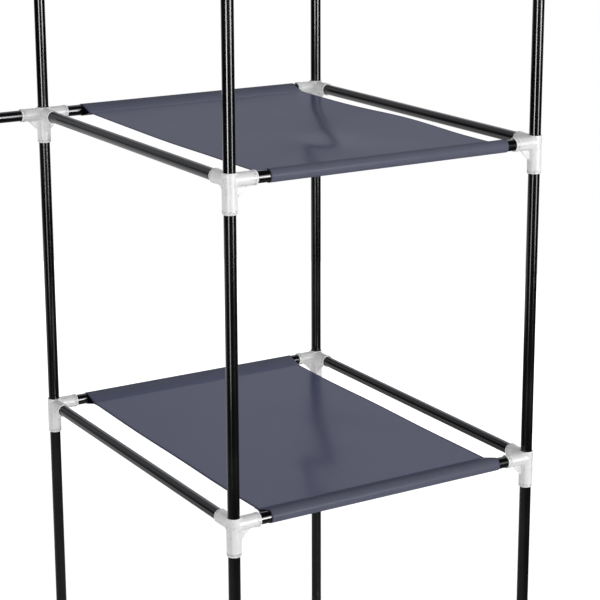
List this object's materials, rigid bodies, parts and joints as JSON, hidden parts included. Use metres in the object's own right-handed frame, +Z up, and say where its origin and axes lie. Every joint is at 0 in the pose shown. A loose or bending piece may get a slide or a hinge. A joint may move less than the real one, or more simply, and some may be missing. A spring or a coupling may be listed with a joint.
{
  "type": "portable fabric wardrobe",
  "caption": "Open tube-frame wardrobe: a column of stretched fabric shelves beside a tall hanging bay, thin black posts and rails joined by white moulded corner connectors.",
  "frame": {"origin": "on the floor under the middle of the frame's bounding box", "axes": "+Z up, +Y from the open front to the back, +X from the hanging bay to the shelf column"},
  "size_m": [1.141, 0.4758, 1.515],
  "materials": {
    "black_enamel": "gloss black enamel on thin steel tube",
    "white_plastic": "moulded white plastic, satin",
    "slate_fabric": "slate blue-grey coated non-woven, soft sheen"
  },
  "bodies": {
    "root": {"end_front_post": "black_enamel", "end_back_post": "black_enamel", "mid_front_post": "black_enamel", "mid_back_post": "black_enamel", "right_front_post": "black_enamel", "right_back_post": "black_enamel", "base_mid_front_connector": "white_plastic", "base_mid_back_connector": "white_plastic", "base_right_front_connector": "white_plastic", "base_right_back_connector": "white_plastic", "base_front_tube": "black_enamel", "base_back_tube": "black_enamel", "base_right_side_tube": "black_enamel", "base_mid_side_tube": "black_enamel", "lower_mid_front_connector": "white_plastic", "lower_mid_back_connector": "white_plastic", "lower_right_front_connector": "white_plastic", "lower_right_back_connector": "white_plastic", "lower_front_tube": "black_enamel", "lower_back_tube": "black_enamel", "lower_right_side_tube": "black_enamel", "lower_mid_side_tube": "black_enamel", "middle_mid_front_connector": "white_plastic", "middle_mid_back_connector": "white_plastic", "middle_right_front_connector": "white_plastic", "middle_right_back_connector": "white_plastic", "middle_front_tube": "black_enamel", "middle_back_tube": "black_enamel", "middle_right_side_tube": "black_enamel", "middle_mid_side_tube": "black_enamel", "upper_mid_front_connector": "white_plastic", "upper_mid_back_connector": "white_plastic", "upper_right_front_connector": "white_plastic", "upper_right_back_connector": "white_plastic", "upper_front_tube": "black_enamel", "upper_back_tube": "black_enamel", "upper_right_side_tube": "black_enamel", "upper_mid_side_tube": "black_enamel", "top_mid_front_connector": "white_plastic", "top_mid_back_connector": "white_plastic", "top_right_front_connector": "white_plastic", "top_right_back_connector": "white_plastic", "top_front_tube": "black_enamel", "top_back_tube": "black_enamel", "top_right_side_tube": "black_enamel", "top_mid_side_tube": "black_enamel", "lower_shelf": "slate_fabric", "middle_shelf": "slate_fabric", "upper_shelf": "slate_fabric", "base_end_front_connector": "white_plastic", "base_end_back_connector": "white_plastic", "rail_end_back_connector": "white_plastic", "top_end_front_connector": "white_plastic", "top_end_back_connector": "white_plastic", "base_end_side_tube": "black_enamel", "top_end_side_tube": "black_enamel", "bay_top_front_tube": "black_enamel", "bay_top_back_tube": "black_enamel", "bay_back_rail": "black_enamel", "hanging_rod": "black_enamel"}
  },
  "joints": []
}
